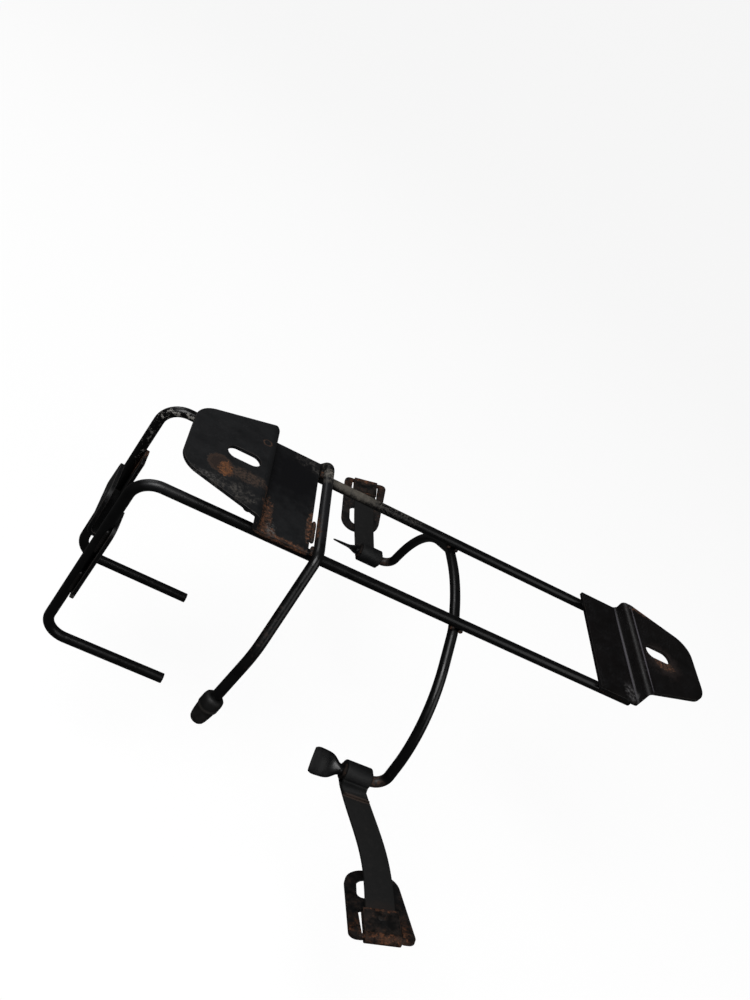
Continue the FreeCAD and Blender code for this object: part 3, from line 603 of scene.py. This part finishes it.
bare_weld = weld_finish("rusted_weld_bead", 0.5)
painted_weld = weld_finish("painted_weld_bead", -0.3)
chance = random.Random(7)
for welded in ("front_bracket", "rear_bracket", "hook_bracket", "leg_bow", "strap_bow"):
    node = welded + "_welds"
    built = bmesh.new()
    parts = loose_parts(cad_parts[node].data)
    for points in parts:
        bead(built, points, chance)
    finish = painted_weld if node == "hook_bracket_welds" else bare_weld
    finish_mesh(node + "_rippled", built, finish, "frame", "weld_metal", node)
    print(node, "beads:", len(parts))

# %% [markdown]
# ## Rubber foot caps
# A moulded rubber cap is pushed on to each end of the front bow, so that the load isn't scratched.
# It has a full collar, a thin lip where the mould closed, and a tapered dome. It is a turned
# shape, so its profile is spun round the bar's axis. Rubber is a dielectric with IOR 1.52 and no
# gloss. The dome is rubbed grey.

# %% Foot caps


LIP_TOP = -117.0   # heights of the lip's edges in mm; the dome below the lip is rubbed
LIP_LOW = -120.5


def cap_finish():
    """Moulded rubber: matt and nearly black, greyer on the dome. A mould's fine grit doesn't show,
    so it is drawn at 0.6 mm."""
    material, tree, shader, place = new_finish("moulded_cap_rubber")
    shader.inputs["IOR"].default_value = 1.52
    ground = two_tone(tree, place, 6.0, "#030303", "#090808")
    low = add(tree, "SeparateXYZ", {}, {0: place})[2]
    dome = {"From Min": -119 * MM, "From Max": -125 * MM}
    rubbed = add(tree, "MapRange", dome, {"Value": low})[0]
    clouds = {"Scale": per_mm(3.0), "Detail": 4.0, "Roughness": 0.6}
    noise = add(tree, "TexNoise", clouds, {"Vector": place})[0]
    patchy = add(tree, "MapRange", {"From Min": 0.3, "From Max": 0.6}, {"Value": noise})[0]
    dusty = add(tree, "Math", {}, {0: rubbed, 1: patchy}, operation="MULTIPLY")[0]
    upper = {"From Min": LIP_TOP * MM, "From Max": (LIP_TOP - 1.2) * MM}
    lower = {"From Min": LIP_LOW * MM, "From Max": (LIP_LOW + 1.5) * MM}
    edges = [add(tree, "MapRange", ends, {"Value": low})[0] for ends in (upper, lower)]
    lip = add(tree, "Math", {}, {0: edges[0], 1: edges[1]}, operation="MULTIPLY")[0]
    layers = [(dusty, "#1c1a19", 0.8), (lip, "#35322f", 0.7)]
    coat(tree, shader, place, ground, (0.5, 0.68), layers, skin=(0.6, 0.2))
    return material


CAP_PROFILE = (  # distance from the closed end and radius, both in mm
    (0.0, 0.0), (0.05, 2.6), (0.7, 4.3), (2.0, 5.4), (4.0, 6.0), (7.5, 6.55), (10.6, 6.9),
    (12.6, 7.0), (13.2, 7.35), (14.2, 7.72), (17.0, 7.75), (20.2, 7.7), (22.4, 7.2),
    (23.5, 6.1), (23.95, 4.9), (23.6, 4.1),
)
CAP_PAST_BAR = 6.0  # the cap's closed end stands this far past the bar's end, in mm


def spun(built, origin, axis, profile, around=40):
    """Spin a profile of (along, radius) in mm round an axis."""
    side = axis.orthogonal().normalized()
    up = axis.cross(side)
    previous = None
    for along, radius in profile:
        ring = []
        for k in range(around):
            angle = 2 * math.pi * k / around
            out = side * math.cos(angle) + up * math.sin(angle)
            ring.append(built.verts.new(origin + axis * (along * MM) + out * (max(radius, 0.02) * MM)))
        if previous:
            for k in range(around):
                built.faces.new((previous[k - 1], previous[k], ring[k], ring[k - 1]))
        else:
            built.faces.new(list(reversed(ring)))
        previous = ring
    built.faces.new(previous)


cap_rubber = cap_finish()
for side in SIDES:
    node = side + "_foot_cap"
    points = [v.co.copy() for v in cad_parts[node].data.vertices]
    low, high = (Vector(corner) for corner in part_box(node))
    bar = [v.co.copy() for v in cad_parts["leg_bow"].data.vertices]
    inside = [p for p in bar if all(low[i] - 1e-5 < p[i] < high[i] + 1e-5 for i in range(3))]
    end = min(inside, key=lambda p: p.z)
    end_ring = [p for p in inside if (p - end).length < 8.2 * MM]
    bar_end = sum(end_ring, Vector()) / len(end_ring)
    mouth = max(points, key=lambda p: (p - bar_end).length)
    rim = [p for p in points if (p - bar_end).length > (mouth - bar_end).length - 0.3 * MM]
    axis = (sum(rim, Vector()) / len(rim) - bar_end).normalized()
    built = bmesh.new()
    spun(built, bar_end - axis * (CAP_PAST_BAR * MM), axis, CAP_PROFILE)
    finish_mesh(side + "_foot_cap_moulded", built, cap_rubber, "frame", "cap_rubber", node)
    print(node, "axis:", [round(c, 3) for c in axis])

# %% [markdown]
# ## Rubber straps
# Each strap is 20 mm wide and 2.5 mm thick, moulded in matt charcoal rubber. It goes once round
# the bush and is vulcanised back on to itself, which leaves a lap with a visible end. A strap is a
# strip swept along a path in its own plane, twisting evenly towards the clip, so the mesh is a
# row of rounded rectangles. That gives soft edges, which a plain extrusion doesn't.

# %% Strap path
SPINDLE_Y = 120.0
SPINDLE_Z = -126.0
STRAP_LONG = 108.0
STRAP_THICK = 2.5
STRAP_WIDE = 20.0
BUSH_R = 6.0
EYE_X = -18.5
END_SHIFT = {"near": 22.0, "far": -6.0}
END_RISE = {"near": 13.0, "far": 1.0}
SWAY = {"near": 4.0, "far": 0.0}
TWIST = math.radians(14.0)


def strap_centre(side, part):
    """Centre line in mm: part is 0 under the bush and 1 inside the clip."""
    start = SPINDLE_Z - BUSH_R - STRAP_THICK / 2
    x = EYE_X + END_SHIFT[side] * math.sin(part * math.pi / 2) + SWAY[side] * math.sin(part * math.pi) ** 2
    y = SIDES[side] * (SPINDLE_Y + STRAP_LONG * part)
    return Vector((x, y, start + END_RISE[side] * part ** 2))


def strap_axes(side, part):
    """Unit vectors across, along and up from the strap."""
    step = 0.01
    along = (strap_centre(side, part + step) - strap_centre(side, part - step)).normalized()
    across = Vector((1, 0, 0))
    across = (across - along * along.dot(across)).normalized()
    up = across.cross(along) * SIDES[side]
    roll = TWIST * part
    return across * math.cos(roll) + up * math.sin(roll), along, up * math.cos(roll) - across * math.sin(roll)


def smooth_run(points, count):
    """Points on a smooth curve through the given ones."""
    result = []
    for i in range(count):
        t = i / (count - 1) * (len(points) - 1)
        k = min(int(t), len(points) - 2)
        u = t - k
        a, b, c, d = (points[min(max(k + j, 0), len(points) - 1)] for j in (-1, 0, 1, 2))
        spot = []
        for n in (0, 1):
            square = 2 * a[n] - 5 * b[n] + 4 * c[n] - d[n]
            cube = 3 * b[n] - a[n] - 3 * c[n] + d[n]
            spot.append(0.5 * (2 * b[n] + (c[n] - a[n]) * u + square * u * u + cube * u ** 3))
        result.append(tuple(spot))
    return result


# the lap leaves the strap at its cut end and rises on to the eye; (out, up) from the bush's axis
middle_r = BUSH_R + STRAP_THICK / 2
lap_rise = STRAP_THICK - 0.15
lap = [(14.4, -middle_r + lap_rise), (12.8, -middle_r + lap_rise), (10.8, -4.3), (9.0, -2.2), (7.75, 0.9)]
loop = smooth_run(lap, 22)[:-1]
for i in range(49):
    turn = math.radians(8 + 262 * i / 48)
    loop.append((middle_r * math.cos(turn), middle_r * math.sin(turn)))
print("points round the eye:", len(loop))

# %% Strap mesh
STRAP_CORNER = 0.55    # rounding of the strip's long edges, in mm
CUT_END_WIDTH = 0.93   # the lap's cut end is a little narrower, as its corners are worn off
LAP_POINTS = 20        # over these points the lap slides from above the strap on to the eye


def strap_ring(built, centre, across, up, wide, thick, corner):
    """One rounded rectangle of the strap."""
    ring = []
    half_w = wide / 2 - corner
    half_t = thick / 2 - corner
    for sign_w, sign_t, start in ((1, 1, 0), (-1, 1, 90), (-1, -1, 180), (1, -1, 270)):
        for step in range(4):
            angle = math.radians(start + 30 * step)
            w = sign_w * half_w + corner * math.cos(angle)
            t = sign_t * half_t + corner * math.sin(angle)
            ring.append(built.verts.new((centre + across * w + up * t) * MM))
    return ring


def strap_mesh(side):
    """Sweep the rounded rectangle round the eye and along the strap."""
    built = bmesh.new()
    sign = SIDES[side]
    stations = []
    for i, (y, z) in enumerate(loop):
        before = loop[max(i - 1, 0)]
        after = loop[min(i + 1, len(loop) - 1)]
        run = Vector((0, sign * (after[0] - before[0]), after[1] - before[1])).normalized()
        up = Vector((1, 0, 0)).cross(run) * sign
        below = strap_centre(side, max(0.0, y / STRAP_LONG)).x
        on_eye = min(1.0, i / LAP_POINTS)
        x = below * (1 - on_eye) + EYE_X * on_eye
        stations.append((Vector((x, sign * (SPINDLE_Y + y), SPINDLE_Z + z)), Vector((1, 0, 0)), up))
    for i in range(1, 41):
        across, _, up = strap_axes(side, i / 40)
        stations.append((strap_centre(side, i / 40), across, -up))
    previous = None
    for i, (centre, across, up) in enumerate(stations):
        wide = STRAP_WIDE * (CUT_END_WIDTH if i == 0 else 1.0)
        ring = strap_ring(built, centre, across, up, wide, STRAP_THICK, STRAP_CORNER)
        if previous:
            count = len(ring)
            for k in range(count):
                built.faces.new((previous[k - 1], previous[k], ring[k], ring[k - 1]))
        else:
            built.faces.new(ring)
        previous = ring
    built.faces.new(list(reversed(previous)))
    return built


# %% [markdown]
# The rubber is matt with a faint grain, about half a millimetre apart, from the rollers that
# pressed it. At the lap's end it has perished and taken up rust, so a brown line shows there.

# %% Strap rubber


def strap_finish(side):
    """Charcoal rubber: matt, with no highlight, and a shade lighter where it is rubbed."""
    material, tree, shader, place = new_finish(side + "_strap_charcoal_rubber")
    shader.inputs["IOR"].default_value = 1.52
    ground = two_tone(tree, place, 16.0, "#060606", "#0d0d0d")
    y = SIDES[side] * (SPINDLE_Y + 14.6)
    seam = patch(tree, place, (EYE_X + END_SHIFT[side] * 0.27, y, -130), (16, 1.0, 6), 0.4, 2.0, 0.6)
    near_eye = patch(tree, place, (EYE_X, SIDES[side] * SPINDLE_Y, -126), (14, 13, 12), 0.4, 5.0, 0.6)
    rubbed = speckle(tree, place, 7.0, 0.3, 0.2)
    at_clip = strap_centre(side, 0.9)
    nicks = speckle(tree, place, 4.0, -0.1, 0.1)
    stained = patch(tree, place, tuple(at_clip), (15, 9, 9), 0.6, 4.0, 0.6)
    layers = [
        (rubbed, "#0f0f0f", 0.85),
        (nicks, "#1d1b1a", 0.85),
        (near_eye, "#050608", 0.55),
        (seam, "#3d3029", 0.8),
        (stained, "#1b1512", 0.8),
    ]
    coat(tree, shader, place, ground, (0.72, 0.88), layers, skin=(0.5, 0.3))
    return material


for side in SIDES:
    piece = finish_mesh(side + "_strap_moulded", strap_mesh(side), strap_finish(side), side + "_strap_body",
                        "strap_rubber", side + "_strap")
    print(piece.name, "faces:", len(piece.data.polygons))

# %% [markdown]
# ## Rusty fittings
# The bushes, clips, rivets and rings were zinc plated once and are bare steel now. Rust is iron
# oxide, a rough dielectric, so a rusty spot isn't metallic, while the steel between is. One mask
# drives both the colour and the metallic value. Steel left outdoors has a roughness near 0.5.

# %% Rusted steel


METAL_SHINE = 0.6  # metallic value of the cleanest steel here: no spot is free of a film of oxide


def rusted_steel(name, cover, dark="#121110", light="#22201f", wear=None):
    """Bare steel gone brown: dull grey glints between matt rust. Its grit is drawn at 0.6 mm,
    because a real one is too fine to show."""
    material, tree, shader, place = new_finish(name)
    rust = speckle(tree, place, 7.0, cover, 0.12)
    fresh = speckle(tree, place, 3.0, 0.1, 0.08, rust)
    ground = two_tone(tree, place, 8.0, dark, light)
    layers = [(rust, "#241a15", 0.85), (fresh, "#553a2b", 0.92)]
    if wear:
        layers += wear(tree, place)
    coat(tree, shader, place, ground, (0.42, 0.58), layers, skin=(0.6, 0.3), crust=rust)
    metal = add(tree, "MapRange", {"To Min": METAL_SHINE, "To Max": 0.0}, {"Value": rust})[0]
    tree.links.new(metal, shader.inputs["Metallic"])
    return material


def clip_wear(side):
    """Dark middle, with thick rust along the clip's outer end and at its mouth."""
    def wear(tree, place):
        tip = strap_centre(side, 1.0)
        _, along, _ = strap_axes(side, 1.0)
        outer = patch(tree, place, tuple(tip + along * 8), (16, 3.5, 9), 0.6, 3.0, 0.4)
        mouth = patch(tree, place, tuple(tip - along * 13), (14, 1.6, 6), 0.7, 2.5, 0.4)
        heart = patch(tree, place, tuple(tip - along * 3), (6, 4, 8), 0.4, 4.0, 0.5)
        return rusted(tree, place, [outer, mouth])[0] + [(heart, "#0b0a0a", 0.7)]
    return wear


def ring_wear(side):
    """Rust round the ring's bar, where the clip's eye holds water."""
    def wear(tree, place):
        tip = strap_centre(side, 1.0)
        by_bar = patch(tree, place, tuple(tip), (26, 12, 16), 0.5, 6.0, 0.5)
        return rusted(tree, place, [speckle(tree, place, 5.0, 0.5, 0.1, by_bar)])[0]
    return wear


clip_edge = rusted_steel("clip_edge_brown_rust", 0.8, "#3a2b24", "#5d483b")
for side in SIDES:
    body = side + "_strap_body"
    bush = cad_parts[side + "_strap_bush"]
    bush.data.materials.clear()
    bush.data.materials.append(rusted_steel(side + "_bush_rusted_steel", 0.6))
    clip = rusted_steel(side + "_clip_rusted_steel", 0.4, wear=clip_wear(side))
    bevelled(side + "_ferrule", body, 0.4, clip, clip_edge)
    ring = rusted_steel(side + "_ring_rusted_steel", 0.15, "#141415", "#262627", ring_wear(side))
    bevelled(side + "_ring", side + "_ring_body", 0.55, ring, segments=3)

# %% [markdown]
# ## Rivets
# A rivet's head is formed by a hammer into a low dome on each face of the clip. Two spun domes
# and a shank do it. The shank stands at the CAD rivet's centre, square to the strap at the clip.

# %% Rivet heads
rivet_steel = rusted_steel("rivet_dark_steel", 0.35)
for side in SIDES:
    node = side + "_ferrule_rivet"
    points = [v.co.copy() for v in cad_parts[node].data.vertices]
    _, _, axis = strap_axes(side, 1.0)
    centre = sum(points, Vector()) / len(points)
    half = max(abs((p - centre).dot(axis)) for p in points) / MM
    dome = [(0.0, 0.2), (0.12, 1.4), (0.35, 2.3), (0.6, 2.8)]
    profile = dome + [(2 * half - along, radius) for along, radius in reversed(dome)]
    built = bmesh.new()
    spun(built, centre - axis * (half * MM), axis, profile, 28)
    finish_mesh(node + "_domed", built, rivet_steel, side + "_strap_body", "rusty_steel", node)
    print(node, "long:", round(2 * half, 2), "mm")

# %% [markdown]
# ## Floor, light and camera
# The rack hangs above a plain pale sweep of paper, low enough for the straps to swing. Large area
# lights are a studio's soft boxes: their size softens the shadows, and they draw a broad highlight
# along each enamelled rod. Two stand on the viewer's side, so the flat plates don't mirror them,
# and a weaker one behind draws the far edges. Black gloss shows whatever is round it, so the room
# stays dim and the paper is kept out of the reflections.

# %% Studio
FLOOR_BELOW = 0.13  # metres from the rack's lowest point, so that a strap can hang down
FLAT_REACH = 2.2    # the paper lies flat this far out, and then curves up
RISE_REACH = 5.0
RISE_HIGH = 2.6
STEPS = 12          # rows of faces in the curve
TURNS = 48          # faces round the sweep
floor_z = cad_box[0][2] - FLOOR_BELOW
sweep = bmesh.new()
previous = [sweep.verts.new((0, 0, floor_z))]
turns = [2 * math.pi * k / TURNS for k in range(TURNS)]
for i in range(STEPS + 1):
    bend = math.pi / 2 * i / STEPS
    out = FLAT_REACH + (RISE_REACH - FLAT_REACH) * math.sin(bend)
    lift = RISE_HIGH * (1 - math.cos(bend))
    ring = [sweep.verts.new((out * math.cos(t), out * math.sin(t), floor_z + lift)) for t in turns]
    for k in range(TURNS):
        if i == 0:
            sweep.faces.new((previous[0], ring[k - 1], ring[k]))
        else:
            sweep.faces.new((previous[k - 1], ring[k - 1], ring[k], previous[k]))
    previous = ring
for face in sweep.faces:
    face.smooth = True
floor_mesh = bpy.data.meshes.new("studio_floor")
sweep.to_mesh(floor_mesh)
sweep.free()
floor = bpy.data.objects.new("studio_floor", floor_mesh)
bpy.context.scene.collection.objects.link(floor)
paper, tree, shader, place = new_finish("studio_paper")
shader.inputs["Base Color"].default_value = colour("#7a7a7a")
shader.inputs["Roughness"].default_value = 0.9
shader.inputs["Emission Color"].default_value = colour("#ffffff")
shader.inputs["Emission Strength"].default_value = 0.9
floor_mesh.materials.append(paper)
floor.visible_glossy = False
floor.visible_diffuse = False


def soft_box(name, place, target, size, power):
    """A square area light that looks at a point."""
    lamp = bpy.data.lights.new(name, "AREA")
    lamp.energy = power
    lamp.size = size
    lit = bpy.data.objects.new(name, lamp)
    lit.location = place
    lit.rotation_euler = (Vector(target) - Vector(place)).to_track_quat("-Z", "Y").to_euler()
    bpy.context.scene.collection.objects.link(lit)


middle = (-0.02, 0.0, -0.08)
soft_box("key_light", (-0.8, -0.7, 1.5), middle, 1.0, 18)
soft_box("fill_light", (1.2, -1.1, 0.9), middle, 1.4, 6)
soft_box("rim_light", (-1.2, 1.3, 1.2), middle, 0.8, 5)
world = bpy.data.worlds.new("studio_world")
world.use_nodes = True
world.node_tree.nodes["Background"].inputs["Color"].default_value = colour("#ffffff")
world.node_tree.nodes["Background"].inputs["Strength"].default_value = 0.035
bpy.context.scene.world = world
bpy.context.scene.view_settings.view_transform = "Standard"
print("floor at", round(floor_z, 3), "m")

# %% [markdown]
# The camera looks about 33 degrees down from the front left, and it is rolled, so the rails run
# from the upper left to the lower right of the picture. Its axes are written as a matrix, because
# a rolled view is hard to give as three angles.

# %% Camera
right = Vector((0.8617, 0.0346, 0.5063))
up = Vector((-0.4201, 0.6085, 0.6732))
back = Vector((-0.2848, -0.7928, 0.5389))
lens = bpy.data.cameras.new("camera")
lens.sensor_fit = "HORIZONTAL"
lens.sensor_width = 36.0
lens.lens = 43.18
lens.clip_start = 0.01
camera = bpy.data.objects.new("camera", lens)
turned = Matrix((right, up, back)).transposed().to_4x4()
camera.matrix_world = Matrix.Translation((-0.2732, -0.5109, 0.3618)) @ turned
bpy.context.scene.collection.objects.link(camera)
bpy.context.scene.camera = camera
print("camera looks", round(math.degrees(math.asin(back.z)), 1), "degrees down")

# %% Update the view layer
bpy.context.view_layer.update()
